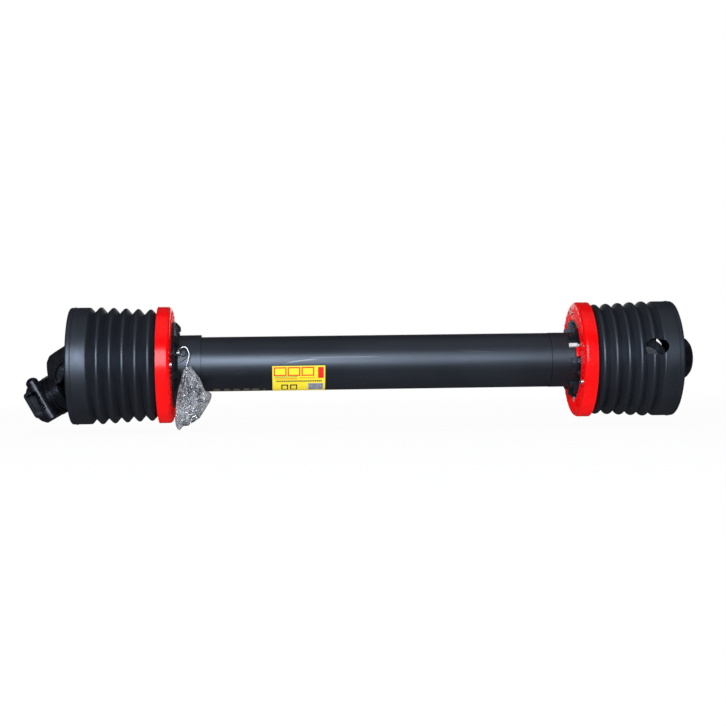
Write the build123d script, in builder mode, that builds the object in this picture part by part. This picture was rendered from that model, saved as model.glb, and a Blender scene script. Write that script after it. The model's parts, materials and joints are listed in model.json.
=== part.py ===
from build123d import *

import os
from math import cos, radians, sin

os.makedirs("parts", exist_ok=True)

# Universal joint shaft for an agricultural power take-off, with its telescopic safety guard.
# +X runs along the shaft, +Z is up. The origin is on the shaft's axis, half way between
# the two joints. The end pieces are drawn for the +X end and turned about Z for the -X end.

# ---- driving dimensions, in mm ----------------------------------------------------------
CROSS_X = 355.0  # centre of each journal cross
MOUTH_X = 399.0  # open rim of each bell
RING_FACE_X = 267.0  # inward face of each locking ring
RING_WIDTH = 18.0
SWIVEL_GAP = 0.4  # between pieces that turn in one another
SLIDE_GAP = 0.4  # between the two profile tubes
FIT_GAP = 0.05  # between a pressed or glued pair
RUN_GAP = 0.05  # bearing clearance, on the radius

# pose that the shaft is stored in, in degrees
LEFT_DROOP = 29.0
LEFT_SWING = 12.0
RIGHT_DROOP = 0.0
RIGHT_SWING = 10.0

# guard
OUTER_TUBE_R, OUTER_TUBE_WALL = 36.0, 3.0
INNER_TUBE_R, INNER_TUBE_WALL = 32.5, 3.0
OUTER_TUBE_FROM, OUTER_TUBE_TO = -255.0, 232.0
INNER_TUBE_FROM, INNER_TUBE_TO = -180.0, 258.0
LEFT_SLEEVE_R, RIGHT_SLEEVE_R = 38.8, 36.3
LEFT_SLEEVE_FROM, RIGHT_SLEEVE_FROM = 229.0, 232.5
RING_R, RING_HOLE_R, RING_WALL = 76.7, 53.0, 2.5
CUP_R, CUP_WALL = 50.0, 2.8  # seat of the nylon bearing ring
SPOKE_ANGLES = (12, 78, 128, 182, 200, 240, 290, 335)  # of the right collar
SCREW_PITCH_R, SCREW_HOLE_R = 63.0, 2.1
LEFT_SCREWS, RIGHT_SCREWS = (0, 120, 240), (88, 208, 328)
BELL_R, BELL_WALL = 76.7, 2.6
RIBS, RIB_PITCH, RIB_DEPTH = 5, 16.05, 8.6
RIB_FIRST = 40.0  # from the bell's rim to its first crest
RIM_SLOPE = 5.5  # from the first valley up to the plain rim
BEAD_FROM_RIM, BEAD_HEIGHT = 6.5, 0.6  # bead round the plain rim
CREST_R_RIM, CREST_R_RING = 78.6, 75.0  # before the crests are rounded
HOLE_LENGTH, HOLE_WIDTH, HOLE_FROM_RIM, HOLE_ANGLE = 30.6, 22.5, 36.3, 11.9

EYE_ANGLE, EYE_R = 19.0, 42.4  # the eye for the tie, above the horizontal and off the axis

# tie, bag and chains
TIE_R, TIE_X, TIE_BOTTOM, TIE_HALF = 0.8, -250.5, -12.0, 6.0
BAG_Y, BAG_DEPTH, FILM = -48.5, 15.0, 0.5

# joints
TRUNNION_R, CAP_R, CAP_FROM, CAP_TO = 10.5, 15.1, 24.0, 46.0
EAR_IN, EAR_OUT, EAR_R = 31.0, 48.5, 26.0
FORK_REACH = 76.5  # a fork's shoulders stay inside this radius from its cross
CLIP_R, CLIP_FROM, CLIP_WIDTH = 16.3, 46.1, 1.7

# driveline
LOBE_C = 14.5  # centre of each lobe's arc in the three-lobed profile
LOBE_R, PROFILE_WALL = 13.0, 4.0
HUB_R, GROOVE_R = 33.0, 29.0
HUB_END_X, THROAT = 262.0, 54.0
GROOVE_X, GROOVE_WIDTH = 273.0, 10.0
FEMALE_TUBE_FROM, FEMALE_TUBE_TO = -299.0, 225.0
MALE_TUBE_FROM, MALE_TUBE_TO = -190.0, 299.0
ROLL_PIN_R, ROLL_PIN_X = 5.0, 291.5

# splined bore, 1 3/8 inch with six splines
SPLINE_R, SPLINE_TIP_R, SPLINE_TOOTH = 17.5, 14.9, 8.6
PILOT_R, PILOT_DEPTH = 18.0, 6.0
PIN_R, PIN_Y = 6.0, 21.5  # push pin and its offset from the bore's axis

left_turn = Rotation(0, 0, 180)


def save(part, name, place=Location()):
    """Places a finished piece in the shaft's frame, names it and writes it."""
    piece = place * part
    piece.label = name
    export_step(piece, f"parts/{name}.step")


def around(x, angle, radius=0.0):
    """A place at this radius from the shaft's axis; angle 0 is +Y and 90 is up."""
    return Location((x, 0, 0), (angle, 0, 0)) * Location((0, radius, 0))


# ---- guard ------------------------------------------------------------------------------
def guard_tube(radius, wall, start, end):
    with BuildPart() as tube:
        with BuildSketch(Plane.YZ.offset(start)):
            Circle(radius)
            Circle(radius - wall, mode=Mode.SUBTRACT)
        extrude(amount=end - start)
    return tube.part


def bell_points(lower):
    """Corners of the ribbed wall from the rim to the ring, lowered to give the inner side."""
    points = []
    for rib in range(RIBS):
        crest_r = CREST_R_RIM + (CREST_R_RING - CREST_R_RIM) * rib / (RIBS - 1) - lower
        crest_x = MOUTH_X - RIB_FIRST - rib * RIB_PITCH
        points.append((crest_x + RIB_PITCH / 2, crest_r - RIB_DEPTH))
        points.append((crest_x, crest_r))
    points.append((points[-1][0] - RIB_PITCH / 2, CREST_R_RING - RIB_DEPTH - lower))
    return points


def is_crest(x):
    """Whether a corner of the ribbed wall at this place is a crest's."""
    steps = (MOUTH_X - RIB_FIRST - x) / RIB_PITCH
    return abs(steps - round(steps)) < 0.1


def bell(screw_angles):
    """Flared guard end: plain rim, ribbed wall and the root that the locking ring covers."""
    skirt = RING_FACE_X + RING_WIDTH  # the ring's skirt covers the bell's root up to here
    root_r = RING_R - RING_WALL - 0.2
    root_x = RING_FACE_X + RING_WALL + 0.2
    outer = bell_points(0)
    inner = bell_points(BELL_WALL * 1.3)
    rim_x = outer[0][0] + RIM_SLOPE
    bead_x = MOUTH_X - BEAD_FROM_RIM
    outline = [(MOUTH_X, BELL_R), (bead_x + 0.9, BELL_R), (bead_x + 0.4, BELL_R + BEAD_HEIGHT)]
    outline += [(bead_x - 0.4, BELL_R + BEAD_HEIGHT), (bead_x - 0.9, BELL_R)]
    outline += [(rim_x, BELL_R), *outer[0:-1], (skirt + 1.5, outer[-1][1])]
    outline += [(skirt - 0.5, root_r), (root_x, root_r), (root_x, RING_HOLE_R + 2)]
    outline += [(root_x + BELL_WALL, RING_HOLE_R + 2), (root_x + BELL_WALL, root_r - BELL_WALL)]
    outline += [(skirt - 4, root_r - BELL_WALL), (skirt + 1.5, inner[-1][1])]
    outline += [*reversed(inner[0:-1]), (rim_x, BELL_R - BELL_WALL), (MOUTH_X, BELL_R - BELL_WALL)]
    with BuildPart() as shell:
        with BuildSketch(Plane.XZ) as wall:
            with BuildLine():
                Polyline(*outline, close=True)
            make_face()
            corners = wall.vertices()
            ribs = [v for v in corners if skirt + 1.6 < v.X < rim_x - 0.1]
            fillet([v for v in ribs if is_crest(v.X)], radius=3.4)
            fillet([v for v in ribs if not is_crest(v.X)], radius=1.3)
            rim = [v for v in wall.vertices() if abs(v.X - MOUTH_X) < 0.01 and v.Y > BELL_R - 1]
            fillet(rim, radius=2.4)
            fillet([v for v in wall.vertices() if abs(v.X - rim_x) < 0.01], radius=3.0)
        revolve(axis=Axis.X)
        hole_place = around(MOUTH_X - HOLE_FROM_RIM, 180 - HOLE_ANGLE, BELL_R)
        with BuildSketch(Plane(hole_place * Rotation(-90, 0, 0))):
            Ellipse(HOLE_LENGTH / 2, HOLE_WIDTH / 2)
        extrude(amount=12, both=True, mode=Mode.SUBTRACT)
        cut_screw_holes(screw_angles)
    return shell.part


def locking_ring(screw_angles):
    """A channel that covers the bell's root and holds the collar's flange."""
    end = RING_FACE_X + RING_WIDTH
    with BuildPart() as ring:
        with BuildSketch(Plane.XZ) as section:
            with BuildLine():
                Polyline(
                    (RING_FACE_X, RING_HOLE_R), (RING_FACE_X, RING_R), (end, RING_R),
                    (end, RING_R - RING_WALL), (RING_FACE_X + RING_WALL, RING_R - RING_WALL),
                    (RING_FACE_X + RING_WALL, RING_HOLE_R), close=True,
                )
            make_face()
            corner, rear = section.vertices().filter_by(lambda v: v.Y > RING_R - 0.1).sort_by(Axis.X)
            inside = section.vertices().filter_by(
                lambda v: abs(v.X - RING_FACE_X - RING_WALL) < 0.1 and v.Y > RING_HOLE_R + 1)
            fillet(corner, radius=5.0)
            fillet(rear, radius=1.6)
            fillet(inside, radius=2.5)
        revolve(axis=Axis.X)
        cut_screw_holes(screw_angles)
    return ring.part


def cut_screw_holes(screw_angles):
    with Locations(*[around(RING_FACE_X, a, SCREW_PITCH_R) for a in screw_angles]):
        with Locations(Location((0, 0, 0), (0, 90, 0))):
            Cylinder(SCREW_HOLE_R, 20, mode=Mode.SUBTRACT)


def ring_screws(screw_angles):
    """Pan-head screws through the locking ring into the bell's root."""
    with BuildPart() as screws:
        with Locations(*[around(RING_FACE_X, a, SCREW_PITCH_R) for a in screw_angles]):
            with Locations(Location((-1.1, 0, 0), (0, 90, 0))):
                Cylinder(3.6, 2.2)
            with Locations(Location((3.2, 0, 0), (0, 90, 0))):
                Cylinder(SCREW_HOLE_R - FIT_GAP, 6.4)
            with Locations(Location((-1.9, 0, 0))):
                Box(1.2, 4.6, 1.0, mode=Mode.SUBTRACT)
                Box(1.2, 1.0, 4.6, mode=Mode.SUBTRACT)
    return screws.part


def cup_points():
    """Outline of the seat inside the locking ring, from its face outwards and back."""
    end = RING_FACE_X + RING_WIDTH
    return [(RING_FACE_X, CUP_R + CUP_WALL), (end, CUP_R + CUP_WALL), (end, CUP_R)]


def left_collar():
    """Sleeve over the outer guard tube, domed flange against the ring, seat for the bearing."""
    sleeve_in = OUTER_TUBE_R + FIT_GAP
    stop = -OUTER_TUBE_FROM
    with BuildPart() as collar:
        with BuildSketch(Plane.XZ) as section:
            with BuildLine():
                Polyline(
                    (LEFT_SLEEVE_FROM, sleeve_in), (LEFT_SLEEVE_FROM, LEFT_SLEEVE_R),
                    (260, LEFT_SLEEVE_R), (263, 54), (266.9, 58.5), (266.9, CUP_R + CUP_WALL),
                    *cup_points()[1:], (RING_FACE_X + 1.5, CUP_R), (stop + 4, 34.5),
                    (stop + 0.1, 34.5), (stop + 0.1, sleeve_in), close=True,
                )
            make_face()
            fillet([v for v in section.vertices() if v.X in (260, 263)], radius=3)
        revolve(axis=Axis.X)
        with Locations(around(-TIE_X, EYE_ANGLE, EYE_R - 1)):
            Box(4, 7, 7)
            with Locations(Location((0, 1, 0), (0, 90, 0))):
                Cylinder(1.4, 10, mode=Mode.SUBTRACT)
    return collar.part


def right_collar():
    """Sleeve over the inner guard tube, joined by spokes to the seat for the bearing."""
    with BuildPart() as collar:
        with BuildSketch(Plane.XZ):
            with BuildLine():
                Polyline(
                    (RIGHT_SLEEVE_FROM, INNER_TUBE_R + FIT_GAP), (RIGHT_SLEEVE_FROM, RIGHT_SLEEVE_R),
                    (270, RIGHT_SLEEVE_R), (270, 34.5), (INNER_TUBE_TO + 0.1, 34.5),
                    (INNER_TUBE_TO + 0.1, INNER_TUBE_R + FIT_GAP), close=True,
                )
            make_face()
            with BuildLine():
                Polyline(*cup_points(), (RING_FACE_X, CUP_R), close=True)
            make_face()
        revolve(axis=Axis.X)
        with Locations(*[around(267.25, a) for a in SPOKE_ANGLES]):
            with Locations((0, (RIGHT_SLEEVE_R + CUP_R) / 2, 0)):
                Box(9.5, CUP_R - RIGHT_SLEEVE_R + 1.6, 5.5)
            with Locations((-6, RIGHT_SLEEVE_R + 2.4, 0)):
                Box(9, 5, 7.5)
    return collar.part


def pointer_tabs():
    """Triangular pointers on the ring's inner edge, which show where the bearing unlocks."""
    with BuildPart() as tabs:
        for angle in (66, 266):
            middle = around(RING_FACE_X - 0.05, angle)
            with BuildSketch(Plane(middle.position, x_dir=around(0, angle, 1).position,
                                   z_dir=(-1, 0, 0))):
                with BuildLine():
                    Polyline((50.5, -4.5), (50.5, 4.5), (57.5, 0), close=True)
                make_face()
            extrude(amount=1.2)
    return tabs.part


def bearing_latch():
    """White nylon latch of the bearing, between two spokes."""
    with BuildPart() as latch:
        with Locations(around(262.2, 153, 41.4)):
            Box(15.8, 10, 5.4)
            with Locations((-4.6, 0, 1.8)):
                Box(4, 6, 1.8, mode=Mode.SUBTRACT)
    return latch.part


def release_tab():
    """Red tab that is pushed to free the bearing."""
    with BuildPart() as tab:
        with Locations(around(267.5, 167, 43.5)):
            Box(3, 4, 13)
            with Locations((-2, 0, 5)):
                Box(3, 3, 3)
    return tab.part


def bearing_ring():
    """Split nylon ring: held by the guard's seat, running in the groove of an inner yoke."""
    with BuildPart() as ring:
        with BuildSketch(Plane.YZ.offset(GROOVE_X + SWIVEL_GAP)):
            Circle(CUP_R - FIT_GAP)
            Circle(GROOVE_R + SWIVEL_GAP, mode=Mode.SUBTRACT)
            with Locations((-40, 0)):
                Rectangle(30, 5, mode=Mode.SUBTRACT)
            with PolarLocations(42.5, 10, start_angle=18):
                SlotOverall(9, 6.5, rotation=90, mode=Mode.SUBTRACT)
        extrude(amount=GROOVE_WIDTH - 2 * SWIVEL_GAP)
    return ring.part


def warning_label():
    """Sticker wrapped round the near underside of the tube."""
    with BuildPart() as label:
        with BuildSketch(Plane.YZ.offset(-136.4)):
            Circle(OUTER_TUBE_R + 0.3)
            Circle(OUTER_TUBE_R + 0.02, mode=Mode.SUBTRACT)
            with BuildLine():
                Polyline(
                    (0, 0), (100 * cos(radians(185.6)), 100 * sin(radians(185.6))), (-100, -100),
                    (100 * cos(radians(265.6)), 100 * sin(radians(265.6))), close=True,
                )
            make_face(mode=Mode.INTERSECT)
        extrude(amount=69.0)
    return label.part


# ---- tie, bag and chains -----------------------------------------------------------------
def tie_loop():
    """Thin wire loop through the collar's eye."""
    eye = (left_turn * around(-TIE_X, EYE_ANGLE, EYE_R)).position
    left, right = TIE_X - TIE_HALF, TIE_X + TIE_HALF
    upper, lower = eye.Z - TIE_HALF, TIE_BOTTOM + TIE_HALF
    with BuildPart() as loop:
        with BuildLine(Plane.XZ.offset(-eye.Y)) as path:
            Line((left, lower), (left, upper))
            ThreePointArc((left, upper), (TIE_X, eye.Z), (right, upper))
            Line((right, upper), (right, lower))
            ThreePointArc((right, lower), (TIE_X, TIE_BOTTOM), (left, lower))
        with BuildSketch(Plane((left, eye.Y, lower), z_dir=(0, 0, 1))):
            Circle(TIE_R)
        sweep(path=path.wire())
    return loop.part


BAG_OUTLINE = (
    (-253.5, -13.5), (-246, -13.5), (-236, -22), (-227, -32), (-215, -43), (-215, -51), (-226, -72),
    (-236, -79), (-249, -83), (-258, -86), (-260, -70), (-258, -50),
)


def chain_bag():
    """Clear film bag, a closed and hollow pillow that hangs from the tie."""
    with BuildPart() as bag:
        with BuildSketch(Plane.XZ.offset(-BAG_Y)):
            with BuildLine():
                Polyline(*BAG_OUTLINE, close=True)
            make_face()
        extrude(amount=BAG_DEPTH / 2, both=True)
        fillet(bag.edges().filter_by(Axis.Y), radius=2.5)
        offset(amount=-FILM, mode=Mode.SUBTRACT)
    return bag.part


def guard_chains():
    """Two retaining chains heaped in the bag, each as the outer shape of its heap."""
    with BuildPart() as heaps:
        with BuildSketch(Plane.XZ.offset(-BAG_Y)):
            with BuildLine():
                Polyline((-254, -36), (-245, -28), (-239, -34), (-243, -58), (-255, -56), close=True)
            make_face()
            with BuildLine():
                Polyline((-255, -60), (-242, -61), (-232, -56), (-229, -68), (-238, -75), (-255, -80),
                         close=True)
            make_face()
        extrude(amount=5, both=True)
        fillet(heaps.edges().filter_by(Axis.Y), radius=2)
    return heaps.part


def chain_hook():
    """Bent steel hook of a retaining chain."""
    with BuildPart() as hook:
        with BuildLine() as path:
            FilletPolyline((-217.5, BAG_Y, -47.5), (-232.5, BAG_Y, -46.5), (-235, BAG_Y, -40),
                           (-230, BAG_Y, -37), radius=2.4)
        with BuildSketch(Plane(path.line @ 0, z_dir=path.line % 0)):
            Circle(1.8)
        sweep()
    return hook.part


# ---- driveline ---------------------------------------------------------------------------
def lobes(inward, first=90):
    """The three-lobed profile, smaller by this much all round."""
    with BuildSketch() as profile:
        with PolarLocations(LOBE_C, 3, start_angle=first):
            Circle(LOBE_R - inward)
        make_hull()
    return profile.sketch


def profile_tube(inward, start, end):
    with BuildPart() as tube:
        with BuildSketch(Plane.YZ.offset(start)):
            add(lobes(inward))
            add(lobes(inward + PROFILE_WALL), mode=Mode.SUBTRACT)
        extrude(amount=end - start)
        with Locations(Location((ROLL_PIN_X if end > ROLL_PIN_X else -ROLL_PIN_X, 0, 0))):
            Cylinder(ROLL_PIN_R + FIT_GAP, 3 * HUB_R, mode=Mode.SUBTRACT)
    return tube.part


MALE_INWARD = PROFILE_WALL + SLIDE_GAP


def fork(throat, shoulder, neck, neck_r, width):
    """Two ears on +-Z with their bridge: a U from the side, round ends from above."""
    with BuildPart() as ears:
        with BuildSketch(Plane.XZ) as side:
            with BuildLine():
                Polyline(
                    (-EAR_R, EAR_OUT), (shoulder, EAR_OUT), (neck, neck_r), (neck, -neck_r),
                    (shoulder, -EAR_OUT), (-EAR_R, -EAR_OUT), close=True,
                )
            make_face()
            fillet([v for v in side.vertices() if abs(v.X - shoulder) < 0.1], radius=9)
            with Locations(((throat - EAR_R) / 2 - 20, 0)):
                RectangleRounded(throat + EAR_R + 40, 2 * EAR_IN, EAR_IN - 11, mode=Mode.SUBTRACT)
        extrude(amount=2 * EAR_R, both=True)
        with BuildSketch(Plane.XY) as top:
            Circle(EAR_R)
            with Locations((neck, 0)):
                Circle(width / 2)
            make_hull()
            with Locations((neck + 60, 0)):
                Rectangle(120, 200, mode=Mode.SUBTRACT)
        extrude(amount=2 * EAR_OUT, both=True, mode=Mode.INTERSECT)
        with BuildSketch(Plane.XZ):
            with BuildLine():
                Polyline((-EAR_R, 0), (-EAR_R, 54), (10, 54), (shoulder - 12, 49.5), (shoulder - 5, 48.5),
                         (neck - 8, 42), (neck, 34), (neck, 0), close=True)
            make_face()
            Circle(FORK_REACH, mode=Mode.INTERSECT)
        revolve(axis=Axis.X, mode=Mode.INTERSECT)
    return ears.part


def cap_seats():
    """The space of the bores for two bearing cups along Z, with their circlips' grooves."""
    with BuildPart() as seats:
        Cylinder(CAP_R + FIT_GAP, 3 * EAR_OUT)
        for side in (1, -1):
            with Locations((0, 0, side * (CLIP_FROM + CLIP_WIDTH / 2))):
                Cylinder(CLIP_R + FIT_GAP, CLIP_WIDTH + 2 * FIT_GAP)
    return seats.part


def inner_yoke(profile_inward):
    """Yoke of the shaft's own tube, with its cross at the origin and its hub towards +X."""
    hub_end = CROSS_X - HUB_END_X
    groove = CROSS_X - GROOVE_X - GROOVE_WIDTH
    with BuildPart() as yoke:
        add(fork(THROAT, 40, 62, HUB_R, 2 * HUB_R))
        with BuildSketch(Plane.XZ):
            with BuildLine():
                Polyline(
                    (THROAT, 0), (THROAT, HUB_R), (groove, HUB_R), (groove, GROOVE_R),
                    (groove + GROOVE_WIDTH, GROOVE_R), (groove + GROOVE_WIDTH, HUB_R),
                    (hub_end - 1, HUB_R), (hub_end, HUB_R - 1), (hub_end, 0), close=True,
                )
            make_face()
        revolve(axis=Axis.X)
        with BuildSketch(Plane.YZ.offset(THROAT - 12)):
            add(lobes(profile_inward - FIT_GAP, first=0))
        extrude(amount=hub_end, mode=Mode.SUBTRACT)
        add(cap_seats(), mode=Mode.SUBTRACT)
        with Locations(Location((CROSS_X - ROLL_PIN_X, 0, 0), (90, 0, 0))):
            Cylinder(ROLL_PIN_R + FIT_GAP, 3 * HUB_R, mode=Mode.SUBTRACT)
    return yoke.part


def roll_pin():
    """Split spring pin through hub and tube, along Z."""
    with BuildPart() as pin:
        with BuildSketch(Plane.XY.offset(-HUB_R + 1)):
            Circle(ROLL_PIN_R)
            Circle(ROLL_PIN_R - 1.8, mode=Mode.SUBTRACT)
            with Locations((ROLL_PIN_R, 0)):
                Rectangle(6, 1.2, mode=Mode.SUBTRACT)
        extrude(amount=2 * HUB_R - 2)
    return pin.part


def bearing_caps():
    """A pair of needle-bearing cups on Z."""
    with BuildPart() as caps:
        with BuildSketch(Plane.XZ) as section:
            with BuildLine():
                Polyline(
                    (TRUNNION_R + RUN_GAP, CAP_FROM), (CAP_R, CAP_FROM), (CAP_R, CAP_TO),
                    (0, CAP_TO), (0, CAP_TO - 3), (TRUNNION_R + RUN_GAP, CAP_TO - 3), close=True,
                )
            make_face()
            fillet([v for v in section.vertices() if v.X == CAP_R and v.Y == CAP_TO], radius=1)
        revolve(axis=Axis.Z)
        mirror(about=Plane.XY)
    return caps.part


def circlips():
    """A pair of circlips over the cups on Z."""
    with BuildPart() as clips:
        with BuildSketch(Plane.XY.offset(CLIP_FROM)):
            Circle(CLIP_R)
            Circle(CLIP_R - 2.6, mode=Mode.SUBTRACT)
            with Locations((CLIP_R, 0)):
                Rectangle(8, 9, mode=Mode.SUBTRACT)
            for side in (1, -1):
                with Locations((CLIP_R - 4.2, side * 6.2)):
                    Circle(2.5)
                    Circle(1.0, mode=Mode.SUBTRACT)
        extrude(amount=CLIP_WIDTH)
        mirror(about=Plane.XY)
    return clips.part


SHOULDER_R, SHOULDER_END, NIPPLE_FROM = 14.0, 22.0, 24.5


def journal_cross():
    """Forged cross with its four trunnions on Y and Z."""
    with BuildPart() as cross:
        Sphere(19)
        for turn in (0, 90):
            with Locations(Location((0, 0, 0), (turn, 0, 0))):
                Cylinder(SHOULDER_R, 2 * SHOULDER_END)
                Cylinder(TRUNNION_R, 2 * (CAP_TO - 3.3))
        ends = cross.edges().filter_by(GeomType.CIRCLE)
        chamfer([e for e in ends if e.arc_center.length > CAP_TO - 4], length=0.6)
        with Locations(Location((0, 0, 0), (45, 0, 0))):
            Cylinder(5, NIPPLE_FROM, align=(Align.CENTER, Align.CENTER, Align.MIN))
    return cross.part


def cross_seals():
    """Four lip seals at the roots of the trunnions."""
    with BuildPart() as seals:
        for turn in (0, 90, 180, 270):
            with BuildSketch(Plane(Location((0, 0, 0), (turn, 0, 0))).offset(SHOULDER_END + 0.05)):
                Circle(CAP_R - 0.4)
                Circle(TRUNNION_R + 0.02, mode=Mode.SUBTRACT)
            extrude(amount=1.5)
    return seals.part


def grease_nipple():
    """Grease nipple of the cross, between two trunnions."""
    with BuildPart() as nipple:
        with BuildSketch(Plane.XZ):
            with BuildLine():
                Polyline((0, 0), (2.4, 0), (2.4, 3.4), (1.9, 4), (1.9, 5.4), (2.9, 6.6), (1.6, 8.6),
                         (0, 8.6), close=True)
            make_face()
        revolve(axis=Axis.Z)
        with BuildSketch():
            RegularPolygon(3.9, 6)
        extrude(amount=2.4)
    return nipple.part


# ---- outer yokes and their push pins ------------------------------------------------------
class Hub:
    """Places along the axis of an outer yoke, from its cross outwards."""

    def __init__(self, throat, shoulder, neck, ridges, block, end, pin):
        self.throat, self.shoulder, self.neck, self.ridges = throat, shoulder, neck, ridges
        self.block, self.end, self.pin = block, end, pin


LEFT_HUB = Hub(throat=64, shoulder=62, neck=74, ridges=(77, 82), block=85.5, end=110, pin=91.5)
RIGHT_HUB = Hub(throat=44, shoulder=35, neck=49, ridges=(), block=51, end=69, pin=56.5)
OUTER_HUB_R, NECK_R, RIDGE_R = 27.0, 25.0, 27.6
BLOCK_Y, BLOCK_MID, BLOCK_HEIGHT = 31.0, 1.5, 37.0
POCKET_Y, POCKET_RIM = 20.6, 2.5
BOSS_R, BOSS_FROM, BOSS_TO = 10.8, -25.0, 24.0
BUTTON_R, BUTTON_FROM, BUTTON_TO, BUTTON_WELL = 8.3, 22.6, 34.5, 12.6
LOCK_TOP, LOCK_BOTTOM, WAIST_R = 5.0, -5.0, 4.0
STEM_R, STEM_END = 3.2, -11.0
PLUG_TOP = -22.0
SPRING_R, SPRING_WIRE_R, SPRING_TURNS = 4.9, 0.6, 5


def spline_bore(hub):
    """The space of the splined bore, from the throat to the mouth, with its round pilot."""
    with BuildPart() as bore:
        with BuildSketch(Plane.YZ.offset(hub.throat - 12)):
            Circle(SPLINE_R)
            with PolarLocations(SPLINE_R, 6):
                Rectangle(2 * (SPLINE_R - SPLINE_TIP_R), SPLINE_TOOTH, mode=Mode.SUBTRACT)
        extrude(amount=hub.end - hub.throat + 14)
        with BuildSketch(Plane.YZ.offset(hub.end - PILOT_DEPTH)):
            Circle(PILOT_R)
        extrude(amount=PILOT_DEPTH + 2)
    return bore.part


def outer_yoke(hub):
    """Yoke with a splined bore, its cross at the origin and its hub towards +X."""
    block_length = hub.end - 2 - hub.block
    with BuildPart() as yoke:
        add(fork(hub.throat, hub.shoulder, hub.neck, OUTER_HUB_R, 30))
        with BuildSketch(Plane.XZ):
            with BuildLine():
                Polyline(
                    (hub.throat, 0), (hub.throat, NECK_R), (hub.block, NECK_R),
                    (hub.block, OUTER_HUB_R), (hub.end - 3, OUTER_HUB_R), (hub.end, OUTER_HUB_R - 3),
                    (hub.end, 0), close=True,
                )
            make_face()
        revolve(axis=Axis.X)
        for ridge in hub.ridges:
            with Locations(Location((ridge, 0, 0), (0, 90, 0))):
                Cylinder(RIDGE_R, 2)
        with BuildSketch(Plane.XZ.offset(-BLOCK_Y)):
            with Locations((hub.block + block_length / 2, BLOCK_MID)):
                RectangleRounded(block_length, BLOCK_HEIGHT, 5)
        extrude(amount=BLOCK_Y)
        with Locations((hub.pin, PIN_Y, (BOSS_FROM + BOSS_TO) / 2)):
            Cylinder(BOSS_R, BOSS_TO - BOSS_FROM)
        add(spline_bore(hub), mode=Mode.SUBTRACT)
        with Locations((hub.pin, PIN_Y, 0)):
            Cylinder(PIN_R + RUN_GAP, 3 * OUTER_HUB_R, mode=Mode.SUBTRACT)
        with Locations((hub.pin, PIN_Y, BUTTON_WELL)):
            Cylinder(BUTTON_R + 0.4, 20, align=(Align.CENTER, Align.CENTER, Align.MIN), mode=Mode.SUBTRACT)
        with BuildSketch(Plane.XZ.offset(-BLOCK_Y - 5)):
            with Locations((hub.block + block_length / 2, BLOCK_MID)):
                RectangleRounded(block_length - 2 * POCKET_RIM, BLOCK_HEIGHT - 8, 3.5)
        extrude(amount=BLOCK_Y + 5 - POCKET_Y, mode=Mode.SUBTRACT)
        add(cap_seats(), mode=Mode.SUBTRACT)
    return yoke.part


def push_pin():
    """Pin on Z: button, waist that frees the splines when pushed in, lock and spring stem."""
    with BuildPart() as pin:
        with BuildSketch(Plane.XZ):
            with BuildLine():
                Polyline(
                    (0, STEM_END), (STEM_R, STEM_END), (STEM_R, LOCK_BOTTOM), (PIN_R, LOCK_BOTTOM),
                    (PIN_R, LOCK_TOP), (WAIST_R, LOCK_TOP + 2), (WAIST_R, BUTTON_FROM),
                    (BUTTON_R, BUTTON_FROM), (BUTTON_R, BUTTON_TO - 5),
                )
                TangentArc((0, BUTTON_TO), (BUTTON_R, BUTTON_TO - 5), tangent=(1, 0))
                Line((0, BUTTON_TO), (0, STEM_END))
            make_face()
        revolve(axis=Axis.Z)
    return pin.part


def pin_spring():
    """Return spring between the pin's lock and the end plug."""
    bottom, top = PLUG_TOP + SPRING_WIRE_R, LOCK_BOTTOM - SPRING_WIRE_R
    with BuildPart() as spring:
        with BuildLine(Plane.XY.offset(bottom)):
            coil = Helix((top - bottom) / SPRING_TURNS, top - bottom, SPRING_R)
        with BuildSketch(Plane(coil @ 0, z_dir=coil % 0)):
            Circle(SPRING_WIRE_R - 0.02)
        sweep()
    return spring.part


def pin_plug():
    """Plug that closes the lower end of the push pin's hole."""
    with BuildPart() as plug:
        with BuildSketch(Plane.XY.offset(PLUG_TOP)):
            Circle(PIN_R)
        extrude(amount=BOSS_FROM - PLUG_TOP - 0.6)
        with BuildSketch(Plane.XY.offset(BOSS_FROM - 0.6)):
            RegularPolygon(3, 6)
        extrude(amount=1.6, mode=Mode.SUBTRACT)
    return plug.part


# ---- the assembly -------------------------------------------------------------------------
right_turn = Location()

save(guard_tube(OUTER_TUBE_R, OUTER_TUBE_WALL, OUTER_TUBE_FROM, OUTER_TUBE_TO), "outer_guard_tube")
save(guard_tube(INNER_TUBE_R, INNER_TUBE_WALL, INNER_TUBE_FROM, INNER_TUBE_TO), "inner_guard_tube")
save(left_collar(), "left_guard_collar", left_turn)
save(right_collar(), "right_guard_collar")
save(pointer_tabs(), "right_pointer_tabs")
save(bearing_latch(), "right_bearing_latch")
save(release_tab(), "right_release_tab")
save(warning_label(), "warning_label")
save(tie_loop(), "tie_loop")
save(chain_bag(), "chain_bag")
save(guard_chains(), "guard_chains")
save(chain_hook(), "chain_hook")
save(profile_tube(0, FEMALE_TUBE_FROM, FEMALE_TUBE_TO), "outer_profile_tube")
save(profile_tube(MALE_INWARD, MALE_TUBE_FROM, MALE_TUBE_TO), "inner_profile_tube")

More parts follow.
